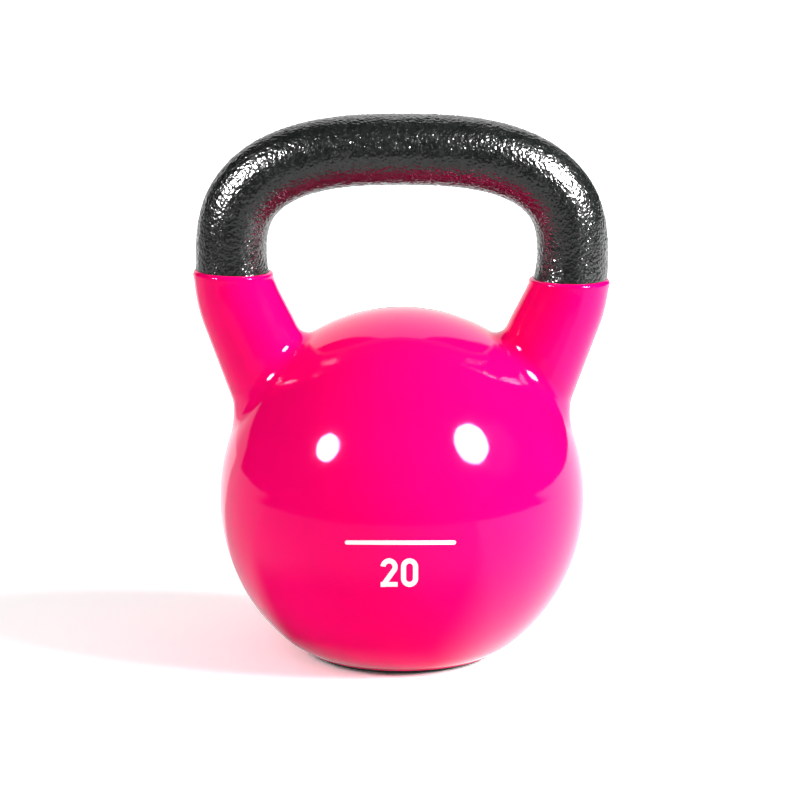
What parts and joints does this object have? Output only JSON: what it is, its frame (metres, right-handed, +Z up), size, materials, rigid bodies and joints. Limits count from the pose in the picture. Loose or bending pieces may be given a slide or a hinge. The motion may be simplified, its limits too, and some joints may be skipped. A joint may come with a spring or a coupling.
{
  "type": "kettlebell",
  "caption": "Vinyl-dipped cast-iron kettlebell with a round ball, two flared horns, an arched black handle with a hammered finish and a rubber foot.",
  "frame": {"origin": "centre of the rubber pad's underside, on the surface that the kettlebell stands on", "axes": "+Z up through the ball and the handle, +X along the handle's bar to the viewer's right, +Y away from the marked face"},
  "size_m": [0.1947, 0.1722, 0.2564],
  "materials": {
    "enamelled_iron": "gloss",
    "pink_vinyl": "gloss",
    "black_rubber": "matte",
    "foam_tape": "matte",
    "white_print": "satin"
  },
  "bodies": {
    "root": {"iron_casting": "enamelled_iron", "vinyl_coat": "pink_vinyl", "base_pad": "black_rubber", "pad_tape": "foam_tape"}
  },
  "joints": []
}
